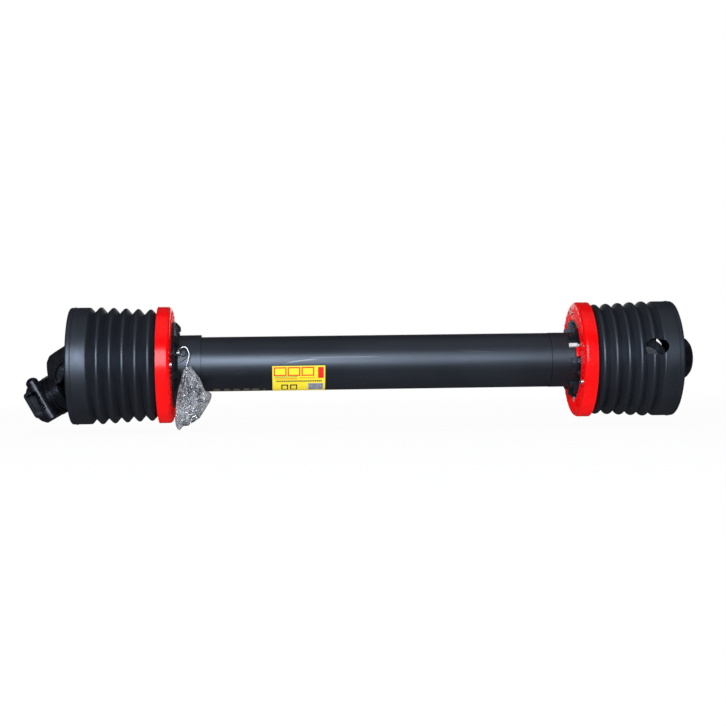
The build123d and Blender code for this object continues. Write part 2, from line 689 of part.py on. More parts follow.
ends = (
    # name, turn to this end, screws, profile in the inner yoke, outer yoke, droop and swing
    ("left", left_turn, LEFT_SCREWS, 0, LEFT_HUB, -LEFT_DROOP, -LEFT_SWING),
    ("right", right_turn, RIGHT_SCREWS, MALE_INWARD, RIGHT_HUB, RIGHT_DROOP, RIGHT_SWING),
)
for name, turn, screws, profile, hub, droop, swing in ends:
    centre = (turn * Location((CROSS_X, 0, 0))).position
    shaft_side = turn * Location((CROSS_X, 0, 0)) * Rotation(90, 0, 0) * Rotation(0, 180, 0)
    cross_place = Location(centre) * Rotation(0, droop, 0) * turn
    yoke_place = cross_place * Rotation(0, 0, swing)
    pin_place = yoke_place * Location((hub.pin, PIN_Y, 0))
    nipple_place = cross_place * Rotation(45, 0, 0) * Location((0, 0, NIPPLE_FROM))

    save(bell(screws), f"{name}_bell", turn)
    save(locking_ring(screws), f"{name}_locking_ring", turn)
    save(ring_screws(screws), f"{name}_ring_screws", turn)
    save(bearing_ring(), f"{name}_bearing_ring", turn)

    save(inner_yoke(profile), f"{name}_inner_yoke", shaft_side)
    save(bearing_caps(), f"{name}_inner_bearing_cups", shaft_side)
    save(circlips(), f"{name}_inner_circlips", shaft_side)
    save(roll_pin(), f"{name}_roll_pin", turn * Location((ROLL_PIN_X, 0, 0)))

    save(journal_cross(), f"{name}_journal_cross", cross_place)
    save(cross_seals(), f"{name}_cross_seals", cross_place)
    save(grease_nipple(), f"{name}_grease_nipple", nipple_place)

    save(outer_yoke(hub), f"{name}_outer_yoke", yoke_place)
    save(bearing_caps(), f"{name}_outer_bearing_cups", yoke_place)
    save(circlips(), f"{name}_outer_circlips", yoke_place)
    save(push_pin(), f"{name}_push_pin", pin_place)
    save(pin_spring(), f"{name}_pin_spring", pin_place)
    save(pin_plug(), f"{name}_pin_plug", pin_place)
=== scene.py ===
import json
from math import atan2, cos, pi, radians, sin

import bmesh
import bpy
from mathutils import Matrix, Vector, noise
from mathutils.geometry import delaunay_2d_cdt


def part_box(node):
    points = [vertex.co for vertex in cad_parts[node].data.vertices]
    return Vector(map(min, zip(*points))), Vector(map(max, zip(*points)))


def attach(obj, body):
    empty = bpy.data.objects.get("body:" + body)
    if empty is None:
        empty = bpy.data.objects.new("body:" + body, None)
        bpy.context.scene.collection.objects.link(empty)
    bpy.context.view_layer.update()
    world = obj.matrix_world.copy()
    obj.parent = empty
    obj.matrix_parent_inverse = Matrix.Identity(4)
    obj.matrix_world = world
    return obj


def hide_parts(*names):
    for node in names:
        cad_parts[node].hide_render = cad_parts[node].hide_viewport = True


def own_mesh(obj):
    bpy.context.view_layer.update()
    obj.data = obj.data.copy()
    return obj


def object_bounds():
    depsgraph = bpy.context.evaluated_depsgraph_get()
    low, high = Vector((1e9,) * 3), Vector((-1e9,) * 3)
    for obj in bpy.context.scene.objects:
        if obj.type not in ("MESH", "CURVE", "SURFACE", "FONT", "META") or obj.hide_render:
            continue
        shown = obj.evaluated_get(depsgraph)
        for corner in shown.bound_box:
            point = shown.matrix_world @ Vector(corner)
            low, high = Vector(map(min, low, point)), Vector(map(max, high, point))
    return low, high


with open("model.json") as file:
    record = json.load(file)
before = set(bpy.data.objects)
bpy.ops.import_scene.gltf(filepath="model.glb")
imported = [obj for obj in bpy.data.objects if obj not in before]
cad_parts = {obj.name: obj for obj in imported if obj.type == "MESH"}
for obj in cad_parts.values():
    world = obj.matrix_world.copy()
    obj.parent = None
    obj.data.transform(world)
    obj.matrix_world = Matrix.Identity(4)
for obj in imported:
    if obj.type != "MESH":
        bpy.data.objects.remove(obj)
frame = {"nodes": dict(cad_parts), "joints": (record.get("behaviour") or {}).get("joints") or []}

CAD_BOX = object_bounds()
MM = 0.001
nodes = frame["nodes"]
joints = {joint["name"]: joint for joint in frame["joints"]}
scene = bpy.context.scene

# ---- driving dimensions, in mm and degrees as in the CAD ---------------------------------------
RING_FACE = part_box("right_locking_ring")[0].x / MM  # inner face of a locking ring, from the middle
SUNK = 0.1  # how deep an added rib sits in the surface under it
LEFT_DROOP, LEFT_TURN, RIGHT_TURN = 29.0, 12.0, 10.0  # how the outer yokes stand at rest
EYE = Vector((-250.5, -40.1, 13.8))  # middle of the left collar's eye for the chain
BAG_Y = -48.5  # middle plane of the bag and the chains in it
BAG_NECK = (-245.2, -0.5)  # x and z
COOL_GLOSS = (0.72, 0.83, 1.0)  # specular tint of everything black


# ---- small tools -------------------------------------------------------------------------------
class Paint:
    """A material's node tree, with short calls for the nodes used here."""

    def __init__(self, name):
        self.material = bpy.data.materials.new(name)
        self.material.use_nodes = True
        self.tree = self.material.node_tree
        self.shader = self.tree.nodes["Principled BSDF"]
        self.output = self.tree.nodes["Material Output"]
        self.place = self.node("ShaderNodeTexCoord").outputs["Object"]

    def node(self, kind, **values):
        made = self.tree.nodes.new(kind)
        for key, value in values.items():
            setattr(made, key, value)
        return made

    def link(self, out, into):
        """Joins two sockets, or sets the second one where out is a constant."""
        if isinstance(out, (int, float, tuple)):
            into.default_value = out
        else:
            self.tree.links.new(out, into)

    def math(self, kind, a, b=0.0, clamp=False):
        made = self.node("ShaderNodeMath", operation=kind, use_clamp=clamp)
        self.link(a, made.inputs[0])
        self.link(b, made.inputs[1])
        return made.outputs[0]

    def times(self, first, *others):
        for other in others:
            first = self.math("MULTIPLY", first, other)
        return first

    def plus(self, a, b):
        return self.math("ADD", a, b)

    def minus(self, a, b, clamp=False):
        return self.math("SUBTRACT", a, b, clamp)

    def above(self, a, limit):
        return self.math("GREATER_THAN", a, limit)

    def below(self, a, limit):
        return self.math("LESS_THAN", a, limit)

    def ramp(self, value, low, high, to_low=0.0, to_high=1.0):
        """Value mapped smoothly from low..high to to_low..to_high."""
        made = self.node("ShaderNodeMapRange", interpolation_type="SMOOTHSTEP")
        for socket, v in zip(made.inputs, (value, low, high, to_low, to_high)):
            self.link(v, socket)
        return made.outputs[0]

    def band(self, value, low, high, soft):
        """1 between low and high and 0 outside, with soft edges."""
        rise = self.ramp(value, low - soft, low + soft)
        fall = self.ramp(value, high - soft, high + soft, 1.0, 0.0)
        return self.times(rise, fall)

    def stretched(self, factors):
        """The object's own coordinates, scaled per axis."""
        made = self.node("ShaderNodeMapping")
        self.link(self.place, made.inputs["Vector"])
        made.inputs["Scale"].default_value = factors
        return made.outputs[0]

    def noise(self, scale, detail=3.0, rough=0.5, where=None, distortion=0.0):
        made = self.node("ShaderNodeTexNoise")
        self.link(self.place if where is None else where, made.inputs["Vector"])
        made.inputs["Scale"].default_value = scale
        made.inputs["Detail"].default_value = detail
        made.inputs["Roughness"].default_value = rough
        made.inputs["Distortion"].default_value = distortion
        return made.outputs["Fac"]

    def cells(self, scale, feature="F1"):
        made = self.node("ShaderNodeTexVoronoi", feature=feature)
        self.link(self.place, made.inputs["Vector"])
        made.inputs["Scale"].default_value = scale
        return made.outputs["Distance"]

    def mix(self, factor, a, b):
        """Colour a where factor is 0 and b where it is 1."""
        made = self.node("ShaderNodeMix", data_type="RGBA")
        for socket, value in zip((made.inputs[0], made.inputs[6], made.inputs[7]), (factor, a, b)):
            self.link((*value, 1.0) if isinstance(value, tuple) else value, socket)
        return made.outputs[2]

    def xyz(self):
        made = self.node("ShaderNodeSeparateXYZ")
        self.link(self.place, made.inputs[0])
        return made.outputs

    def worn(self, low, high):
        """1 on convex edges, from the mesh's own curvature."""
        geometry = self.node("ShaderNodeNewGeometry")
        return self.ramp(geometry.outputs["Pointiness"], low, high)

    def bump(self, *layers):
        """Layers are (height, strength, distance in metres), stacked."""
        last = None
        for height, strength, distance in layers:
            made = self.node("ShaderNodeBump")
            made.inputs["Strength"].default_value = strength
            made.inputs["Distance"].default_value = distance
            self.link(height, made.inputs["Height"])
            if last is not None:
                self.link(last, made.inputs["Normal"])
            last = made.outputs["Normal"]
        self.link(last, self.shader.inputs["Normal"])

    def set(self, **values):
        names = {"colour": "Base Color", "rough": "Roughness", "metal": "Metallic",
                 "specular": "Specular IOR Level", "specular_tint": "Specular Tint",
                 "coat": "Coat Weight", "coat_rough": "Coat Roughness", "alpha": "Alpha"}
        for key, value in values.items():
            value = (*value, 1.0) if isinstance(value, tuple) else value
            self.link(value, self.shader.inputs[names[key]])


def dress(paint, *names):
    """Gives this material to CAD nodes."""
    for name in names:
        slots = nodes[name].material_slots
        if not slots:
            nodes[name].data.materials.append(paint.material)
        for slot in slots:
            slot.material = paint.material


def both(*kinds):
    """The names of these nodes at the left end and at the right end."""
    return [f"{end}_{kind}" for end in ("left", "right") for kind in kinds]


def piece(name, verts, faces, paint, body, slot, smooth=True):
    """A new mesh piece, in metres, riding on a body."""
    mesh = bpy.data.meshes.new(name)
    mesh.from_pydata([tuple(v) for v in verts], [], faces)
    mesh.validate()
    if smooth:
        mesh.polygons.foreach_set("use_smooth", [True] * len(mesh.polygons))
    mesh.materials.append(paint.material)
    made = bpy.data.objects.new(name, mesh)
    scene.collection.objects.link(made)
    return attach(made, body)


def moulded(name, parts, paint, body, slot, edge, segments=2):
    """A flat-shaded piece of joined blocks, whose corners are bevelled by edge mm."""
    made = piece(name, *gather(parts), paint, body, slot, smooth=False)
    mesh = bmesh.new()
    mesh.from_mesh(made.data)
    bmesh.ops.recalc_face_normals(mesh, faces=mesh.faces)
    mesh.to_mesh(made.data)
    mesh.free()
    bevel = made.modifiers.new("bevel", "BEVEL")
    bevel.width, bevel.segments = edge * MM, segments
    bevel.limit_method, bevel.angle_limit = "ANGLE", radians(35)
    return made


def gather(parts):
    """Joins (verts, faces) pairs into one."""
    verts, faces = [], []
    for v, f in parts:
        start = len(verts)
        verts += v
        faces += [tuple(i + start for i in face) for face in f]
    return verts, faces


def tube_along(points, radius, sides=12, closed=False):
    """Vertices and faces of a round wire along points."""
    count = len(points)
    points = [Vector(p) for p in points]
    verts, faces = [], []
    side = None
    for i, p in enumerate(points):
        ahead = points[(i + 1) % count] if closed or i < count - 1 else p
        behind = points[i - 1] if closed or i > 0 else p
        along = (ahead - behind).normalized()
        if side is None:
            side = along.orthogonal().normalized()
        side = (side - along * side.dot(along)).normalized()
        up = along.cross(side)
        for k in range(sides):
            a = 2 * pi * k / sides
            verts.append(p + (side * cos(a) + up * sin(a)) * radius)
    for i in range(count if closed else count - 1):
        this, following = i * sides, (i + 1) % count * sides
        for k in range(sides):
            beside = (k + 1) % sides
            faces.append((this + k, this + beside, following + beside, following + k))
    if not closed:
        faces.append(tuple(reversed(range(sides))))
        faces.append(tuple(range((count - 1) * sides, count * sides)))
    return verts, faces


def curve_through(points, per_span=10, closed=False):
    """Catmull-Rom line through points."""
    count = len(points)
    points = [Vector(p) for p in points]
    line = []

    def at(i):
        return points[i % count] if closed else points[max(0, min(count - 1, i))]

    for i in range(count if closed else count - 1):
        a, b, c, d = at(i - 1), at(i), at(i + 1), at(i + 2)
        for k in range(per_span):
            t = k / per_span
            line.append(0.5 * (2 * b + (c - a) * t + (2 * a - 5 * b + 4 * c - d) * t * t
                               + (3 * b - a - 3 * c + d) * t ** 3))
    if not closed:
        line.append(points[-1])
    return line


def prism(outline, place):
    """Vertices and faces of an outline repeated at both ends of a block.
    place(sign, point) puts a point of the outline at the -1 end or the 1 end."""
    count = len(outline)
    verts = [place(sign, point) for sign in (-1, 1) for point in outline]
    faces = [tuple(range(count)), tuple(reversed(range(count, 2 * count)))]
    faces += [(i, i + count, (i + 1) % count + count, (i + 1) % count) for i in range(count)]
    return verts, faces


# ---- materials ---------------------------------------------------------------------------------
def scratches(p):
    """Pale scratches on the near side of the tube."""
    x, y, z = p.xyz()
    marks = 0.0
    # middle of each scratch (x, z), slope and bow, where it starts and ends, half width, strength
    for x0, z0, slope, bow, left, right, half, depth in (
            (-0.0955, 0.0035, 0.10, -1.1, -0.121, -0.070, 0.0005, 0.55),
            (-0.0700, 0.0070, 0.015, -0.2, -0.092, 0.010, 0.0004, 0.25),
            (0.1400, 0.0120, -0.05, 0.3, 0.105, 0.160, 0.0003, 0.10),
            (-0.1780, -0.0120, 0.30, 0.0, -0.184, -0.170, 0.0003, 0.3)):
        dx = p.minus(x, x0)
        line = p.plus(p.times(dx, slope), p.times(dx, dx, bow))
        off = p.math("ABSOLUTE", p.minus(p.minus(z, z0), line))
        near = p.ramp(off, half, half * 2.4, depth, 0.0)
        inside = p.times(p.ramp(x, left, left + 0.012), p.ramp(x, right - 0.02, right, 1.0, 0.0))
        marks = p.math("MAXIMUM", marks, p.times(near, inside, p.below(y, 0.0)))
    return marks


def print_marks(p):
    """A row of worn dashes along the underside of the tube, near the left collar."""
    x, y, z = p.xyz()
    dashes_per_metre = 78.0
    step = p.math("FRACT", p.times(x, dashes_per_metre))
    dash = p.above(p.plus(step, p.times(p.noise(55.0, 1.0), 0.5)), 0.62)
    span = p.times(p.above(x, -0.216), p.below(x, -0.146))
    row = p.times(p.above(z, -0.0351), p.below(z, -0.0325), p.below(y, 0.0))
    return p.times(dash, span, row, p.ramp(p.noise(900.0), 0.35, 0.6, 0.1, 0.6))


def black_plastic(name, along_x, marked=False, smoothest=0.36):
    """Moulded black polyethylene with a cool sheen, wipe marks and dust. Its marks run along the
    shaft where along_x is true. smoothest is its lowest roughness."""
    p = Paint(name)
    wipe_stretch = (4.0, 55.0, 55.0) if along_x else (60.0, 12.0, 12.0)
    line_stretch = (6.0, 260.0, 260.0) if along_x else (240.0, 30.0, 30.0)
    wipe = p.noise(1.0, 5.0, 0.6, p.stretched(wipe_stretch))
    lines = p.noise(1.0, 4.0, 0.55, p.stretched(line_stretch))
    dust = p.ramp(p.noise(420.0, 2.0), 0.66, 0.76)
    colour = p.mix(p.ramp(p.noise(9.0, 4.0), 0.3, 0.7), (0.0060, 0.0066, 0.0090), (0.0105, 0.0115, 0.0150))
    colour = p.mix(p.times(dust, 0.12), colour, (0.14, 0.14, 0.15))
    if marked:
        colour = p.mix(scratches(p), colour, (0.30, 0.31, 0.34))
        colour = p.mix(print_marks(p), colour, (0.24, 0.17, 0.10))
    rough = p.plus(p.ramp(wipe, 0.3, 0.7, smoothest, smoothest + 0.10), p.times(dust, 0.2))
    p.set(colour=colour, rough=rough, specular=1.0, specular_tint=COOL_GLOSS)
    p.bump((lines, 0.10, 0.0004), (p.noise(1700.0, 2.0), 0.10, 0.0001))
    return p


def red_plastic():
    """Glossy red moulding with flow marks, scuffs and specks of dirt."""
    p = Paint("ring_red")
    flow = p.noise(26.0, 4.0, 0.55, distortion=0.6)
    colour = p.mix(p.ramp(flow, 0.3, 0.72), (0.80, 0.0, 0.0006), (0.92, 0.0003, 0.0012))
    scuff = p.ramp(p.noise(1.0, 6.0, 0.7, p.stretched((260.0, 60.0, 60.0))), 0.60, 0.72)
    colour = p.mix(p.times(scuff, 0.06), colour, (0.95, 0.22, 0.20))
    specks = p.ramp(p.cells(190.0), 0.0, 0.16, 1.0, 0.0)
    dirty = p.ramp(p.noise(38.0), 0.60, 0.72, 0.0, 0.7)
    colour = p.mix(p.times(specks, dirty), colour, (0.10, 0.004, 0.005))
    rough = p.plus(p.ramp(flow, 0.3, 0.7, 0.19, 0.26), p.times(scuff, 0.15))
    p.set(colour=colour, rough=rough, specular=0.30, coat=0.12, coat_rough=0.14)
    p.bump((flow, 0.10, 0.0012), (p.noise(700.0, 2.0), 0.05, 0.0002))
    return p


def black_paint():
    """Glossy black paint over a forged and cast surface, a little chipped."""
    p = Paint("yoke_paint")
    swell = p.noise(70.0, 4.0, 0.6)
    peel = p.noise(520.0, 2.0)
    chips = p.ramp(p.noise(260.0, 3.0, 0.6), 0.68, 0.74)
    colour = p.mix(p.ramp(swell, 0.35, 0.7), (0.0028, 0.0028, 0.0040), (0.0070, 0.0070, 0.0095))
    colour = p.mix(p.times(chips, 0.25), colour, (0.06, 0.06, 0.07))
    p.set(colour=colour, rough=p.ramp(p.noise(45.0, 3.0), 0.3, 0.7, 0.24, 0.38), specular=0.42,
          coat=0.22, coat_rough=0.14, specular_tint=COOL_GLOSS)
    p.bump((swell, 0.55, 0.0020), (peel, 0.04, 0.0003))
    return p


def steel(name, tint, dark, rough_from, rough_to, spots=0.3):
    """Plated or bare steel with fine grain, stains and bright edges."""
    p = Paint(name)
    stain = p.noise(85.0, 4.0, 0.6)
    spot = p.ramp(p.noise(520.0, 2.0), 0.62, 0.72)
    colour = p.mix(p.ramp(stain, 0.35, 0.75), tint, dark)
    colour = p.mix(p.times(spot, spots), colour, tuple(0.35 * c for c in dark))
    colour = p.mix(p.times(p.worn(0.54, 0.64), 0.6), colour, tuple(min(1, 1.25 * c) for c in tint))
    p.set(colour=colour, rough=p.ramp(stain, 0.3, 0.7, rough_from, rough_to), metal=0.95)
    p.bump((p.noise(900.0, 3.0), 0.15, 0.0002))
    return p


def plain_moulding(name, light, dark, rough=0.42, specular=0.5):
    """Small nylon or rubber moulding: mottled and a little grimy."""
    p = Paint(name)
    mottle = p.noise(60.0, 4.0, 0.6)
    grime = p.ramp(p.noise(400.0, 2.0), 0.60, 0.75, 0.0, 0.35)
    colour = p.mix(p.ramp(mottle, 0.3, 0.72), light, dark)
    colour = p.mix(grime, colour, tuple(0.55 * c for c in dark))
    p.set(colour=colour, rough=p.ramp(mottle, 0.3, 0.7, rough - 0.07, rough + 0.07), specular=specular)
    p.bump((p.noise(1200.0, 2.0), 0.12, 0.00015), (mottle, 0.10, 0.0006))
    return p


def label_print():
    """Yellow sticker with plain red, green and dark blocks and bars; nothing on it can be read.
    u is mm from its left edge, v is degrees round the tube, below the horizontal."""
    p = Paint("label_print")
    x, y, z = p.xyz()
    left, right = (corner.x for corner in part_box("warning_label"))
    width = (right - left) / MM
    u = p.times(p.minus(x, left), 1 / MM)
    v = p.times(p.math("ARCTAN2", p.times(z, -1.0), p.times(y, -1.0)), 180 / pi)

    def block(u0, u1, v0, v1):
        return p.times(p.band(u, u0, u1, 0.15), p.band(v, v0, v1, 0.25))

    def frame_of(u0, u1, v0, v1, wall_u, wall_v):
        hole = block(u0 + wall_u, u1 - wall_u, v0 + wall_v, v1 - wall_v)
        return p.minus(block(u0, u1, v0, v1), hole, clamp=True)

    red, green, orange = (0.72, 0.012, 0.012), (0.06, 0.28, 0.08), (0.72, 0.22, 0.02)
    dark, grey, slate = (0.035, 0.033, 0.03), (0.33, 0.35, 0.40), (0.12, 0.13, 0.17)
    bars_per_mm = 0.42
    bars = p.above(p.math("FRACT", p.times(u, bars_per_mm)), 0.30)
    speckle = p.above(p.noise(620.0, 1.0), 0.5)
    shapes = [(frame_of(start, end, 8.1, 27.3, 1.5, 2.6), red)
              for start, end in ((1.9, 18.5), (20.0, 36.5), (38.0, 54.6))]
    shapes += [(block(59.6, 67.1, 8.4, 33.0), red),
               (block(2.8, 32.6, 28.6, 30.6), green),
               (block(2.8, 32.6, 33.2, 35.0), red),
               (p.times(block(35.0, 56.0, 30.5, 33.5), bars), orange),
               (p.times(block(4.4, 64.6, 38.3, 42.5), bars), dark)]
    shapes += [(frame_of(start, end, 50.0, 72.0, 1.6, 4.0), dark)
               for start, end in ((11.5, 20.5), (23.0, 32.5))]
    shapes += [(block(46.4, 66.5, 46.5, 74.0), grey),
               (p.times(block(47.6, 65.3, 48.5, 72.0), speckle), slate)]
    fade = p.noise(70.0, 4.0, 0.6)
    colour = p.mix(p.ramp(fade, 0.3, 0.7), (0.93, 0.74, 0.030), (0.86, 0.66, 0.022))
    for mask, tone in shapes:
        colour = p.mix(mask, colour, tone)
    worn_rim = p.math("MAXIMUM", p.ramp(u, 0.0, 0.7, 1.0, 0.0), p.ramp(u, width - 0.7, width))
    colour = p.mix(p.times(worn_rim, 0.35), colour, (0.60, 0.45, 0.10))
    p.set(colour=colour, rough=p.ramp(fade, 0.3, 0.7, 0.26, 0.36), specular=0.5)
    p.bump((p.noise(160.0, 3.0), 0.06, 0.0004))
    return p


def clear_film():
    """Crinkled clear polythene: mostly see-through, with sharp glints."""
    p = Paint("clear_film")
    crease = p.noise(95.0, 4.0, 0.55, p.stretched((1.3, 1.0, 0.45)), distortion=0.7)
    fine = p.ramp(p.cells(230.0, "DISTANCE_TO_EDGE"), 0.0, 0.12)
    p.set(colour=p.mix(p.ramp(crease, 0.35, 0.7), (0.085, 0.09, 0.105), (0.36, 0.37, 0.40)),
          rough=p.ramp(crease, 0.3, 0.7, 0.04, 0.12), specular=1.0, coat=1.0, coat_rough=0.05,
          alpha=p.ramp(crease, 0.30, 0.68, 0.58, 0.88))
    p.bump((crease, 0.8, 0.0030), (fine, 0.2, 0.0004))
    return p


TUBE_BLACK = black_plastic("tube_black", True, marked=True)
SLIDING_BLACK = black_plastic("sliding_black", True)
BELL_BLACK = black_plastic("bell_black", False, smoothest=0.38)
RED = red_plastic()
PAINT = black_paint()
ZINC = steel("zinc_plate", (0.80, 0.81, 0.84), (0.48, 0.48, 0.50), 0.20, 0.36)
DARK_STEEL = steel("dark_steel", (0.16, 0.165, 0.18), (0.07, 0.07, 0.075), 0.28, 0.42)
BARE_STEEL = steel("bare_steel", (0.55, 0.55, 0.57), (0.34, 0.33, 0.32), 0.24, 0.42)
TIE = steel("tie_wire", (0.90, 0.91, 0.94), (0.66, 0.67, 0.70), 0.22, 0.34, spots=0.1)
NYLON = plain_moulding("nylon", (0.74, 0.74, 0.72), (0.56, 0.56, 0.55))
GREY_NYLON = plain_moulding("bearing_nylon", (0.34, 0.35, 0.37), (0.22, 0.23, 0.25))
RUBBER = plain_moulding("seal_rubber", (0.022, 0.022, 0.023), (0.012, 0.012, 0.012), 0.6)
MATTE_BLACK = plain_moulding("matte_black", (0.010, 0.010, 0.012), (0.006, 0.006, 0.007), 0.66, 0.2)
GREY_BLACK = plain_moulding("worn_black", (0.060, 0.062, 0.070), (0.030, 0.031, 0.036))
LABEL = label_print()
FILM = clear_film()

dress(TUBE_BLACK, "outer_guard_tube")
dress(SLIDING_BLACK, "inner_guard_tube", *both("guard_collar"))
dress(BELL_BLACK, *both("bell"))
dress(RED, *both("locking_ring"))
dress(PAINT, *both("inner_yoke", "outer_yoke", "journal_cross", "push_pin"))
dress(ZINC, *both("ring_screws", "grease_nipple"))
dress(DARK_STEEL, "chain_hook", *both("inner_bearing_cups", "outer_bearing_cups", "inner_circlips",
                                      "outer_circlips", "roll_pin", "pin_plug"))
dress(BARE_STEEL, "inner_profile_tube", "outer_profile_tube")
dress(GREY_NYLON, "right_pointer_tabs", *both("bearing_ring"))
dress(RUBBER, *both("cross_seals"))
dress(LABEL, "warning_label")


# ---- locking rings and left collar: ribs, teeth, clips and gusset ------------------------------
def polar(side, x, r, angle):
    """A point on the left (-1) or right (1) end: x along the shaft from its middle, r from its axis.
    The angle is in the end's own frame: 0 is +Y on the right and -Y on the left; 90 is up."""
    a = radians(angle)
    return Vector((side * x, side * r * cos(a), r * sin(a))) * MM


def wedge(side, corners, angle, half_width):
    """A radial block: corners are (x, r) pairs of its side face, at this angle."""
    a = radians(angle)
    across = Vector((0, side * -sin(a), cos(a))) * half_width * MM
    return prism(corners, lambda sign, corner: polar(side, *corner, angle) + across * sign)


def ring_ribs(end, side, body, screws):
    """Ribs on a ring's inner face, long and short in turn and none over a screw, with small teeth
    inside them."""
    back, front, tooth_front = RING_FACE + SUNK, RING_FACE - 1.0, RING_FACE - 0.8
    rib_count, tooth_count, clear_of_screw = 60, 90, 5.5
    parts = []
    for k in range(rib_count):
        angle = 360 * k / rib_count
        if min(abs((angle - screw + 180) % 360 - 180) for screw in screws) < clear_of_screw:
            continue
        outer = 71.5 if k % 2 else 68.5
        corners = ((back, 55.4), (front, 56.0), (front, outer - 0.8), (back, outer))
        parts.append(wedge(side, corners, angle, 0.95))
    for k in range(tooth_count):
        angle = 360 / tooth_count * (k + 0.5)
        corners = ((back, 53.0), (tooth_front, 53.2), (tooth_front, 54.8), (back, 55.2))
        parts.append(wedge(side, corners, angle, 1.0))
    moulded(f"{end}_ring_ribs", parts, RED, body, "red_plastic", edge=0.25, segments=1)


def collar_ribs():
    """Radial ribs that follow the left collar's domed flange."""
    profile = ((259.0, 38.2), (257.6, 42.0), (260.6, 50.5), (264.6, 57.4), (266.8, 57.4), (266.8, 38.2))
    parts = [wedge(-1, profile, angle, 1.5) for angle in range(15, 375, 30)]
    moulded("left_collar_ribs", parts, SLIDING_BLACK, "guard_outer", "black_plastic", edge=0.5)


def collar_clips():
    """Wide clips round the left collar's flange."""
    profile = ((256.5, 44.6), (256.5, 50.0), (261.5, 55.5), (266.0, 55.5), (266.0, 44.6))
    parts = [wedge(-1, profile, angle, 5.0) for angle in (-14, 38, 98, 158, 218, 278)]
    moulded("left_collar_clips", parts, MATTE_BLACK, "guard_outer", "black_plastic", edge=0.5)


def eye_gusset():
    """A thin brace under the chain's eye, curved with the collar."""
    inner, outer = 38.6, 41.4

    def place(sign, corner):
        x, z = corner
        r = outer if sign > 0 else inner
        return Vector((x, -(r ** 2 - z ** 2) ** 0.5, z)) * MM

    outline = ((-256.0, 11.2), (-246.2, 11.2), (-247.4, 8.0), (-255.8, 2.2))
    moulded("eye_gusset", [prism(outline, place)], GREY_BLACK, "guard_outer", "black_plastic", edge=0.4)


ring_ribs("left", -1, "guard_outer", (0, 120, 240))
ring_ribs("right", 1, "guard_inner", (88, 208, 328))
collar_ribs()
collar_clips()
eye_gusset()


# ---- right bearing: red tab, white latch and window plate --------------------------------------
def curved_block(x0, x1, r0, r1, from_angle, to_angle):
    """A block that follows the shaft's curve; its angles turn from +Y through up to -Y, at 180."""
    verts, faces = [], []
    steps = 8
    for i in range(steps + 1):
        a = radians(from_angle + (to_angle - from_angle) * i / steps)
        for x, r in ((x0, r0), (x1, r0), (x1, r1), (x0, r1)):
            verts.append(Vector((x, r * cos(a), r * sin(a))) * MM)
    for i in range(steps):
        for k in range(4):
            faces.append((4 * i + k, 4 * i + (k + 1) % 4, 4 * i + 4 + (k + 1) % 4, 4 * i + 4 + k))
    faces += [(3, 2, 1, 0), tuple(4 * steps + k for k in range(4))]
    return verts, faces


tab_parts = [curved_block(262.8, 268.9, 41.5, 45.5, 158.6, 175.4),
             curved_block(264.0, 268.0, 45.5, 46.4, 160.0, 166.0)]
tab = moulded("release_tab_body", tab_parts, RED, "guard_inner", "red_plastic", edge=0.5)
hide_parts("right_release_tab")

latch_parts = [curved_block(254.4, 265.4, 38.0, 41.8, 148.8, 155.3),
               curved_block(254.4, 257.0, 41.8, 42.6, 149.4, 154.8),
               curved_block(261.5, 265.4, 41.8, 42.6, 149.4, 154.8),
               curved_block(265.4, 268.5, 38.0, 40.6, 149.8, 154.4)]
latch = moulded("bearing_latch_block", latch_parts, NYLON, "guard_inner", "nylon", edge=0.4)
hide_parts("right_bearing_latch")

plate_parts = [curved_block(269.2, 271.8, 45.0, 48.6, 161.0, 176.0),
               curved_block(268.8, 272.0, 46.5, 47.5, 164.0, 167.0)]
moulded("bearing_window_plate", plate_parts, NYLON, "guard_inner", "nylon", edge=0.4)


# ---- tie wire ----------------------------------------------------------------------------------
def tie_wire():
    """A strand that arches from the collar down to the bag's neck, its wraps at the top and its tail
    through the eye. Points are in mm from the middle of the eye."""
    strand = [(-8.6, 2.0, 1.2), (-6.8, 0.4, 4.6), (-3.2, -1.2, 7.6), (0.8, -1.6, 9.2), (4.4, -1.8, 7.0),
              (6.6, -2.0, 2.2), (7.0, -2.6, -2.4), (5.6, -4.0, -9.0), (3.4, -5.6, -15.4), (2.0, -7.2, -20.6),
              (3.4, -8.8, -24.4), (5.4, -8.6, -22.0)]
    tail = [(-5.0, 2.4, 0.4), (-2.4, 0.6, -1.0), (-0.4, 2.2, -2.8), (-1.0, 4.4, -1.8)]
    wraps = []
    turns, steps, start, length, radius, middle = 4, 18, -9.4, 4.4, 1.9, 1.2
    for k in range(turns * steps):
        a = 2 * pi * k / steps
        x = start + length * k / (turns * steps)
        wraps.append((x, radius * cos(a) + middle, radius * sin(a) + middle))
    wires = []
    for line, wire_radius, sides in ((curve_through(strand, 12), 0.78, 12), (wraps, 0.6, 8),
                                     (curve_through(tail, 10), 0.6, 8)):
        wires.append(tube_along([(EYE + Vector(p)) * MM for p in line], wire_radius * MM, sides))
    return piece("tie_wire_loop", *gather(wires), TIE, "guard_outer", "tie_wire")


tie = tie_wire()
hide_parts("tie_loop")


# ---- chains in the bag -------------------------------------------------------------------------
LINK_LENGTH, LINK_WIDTH, LINK_WIRE, LINK_PITCH = 9.0, 5.6, 0.85, 5.6  # the wire is a radius
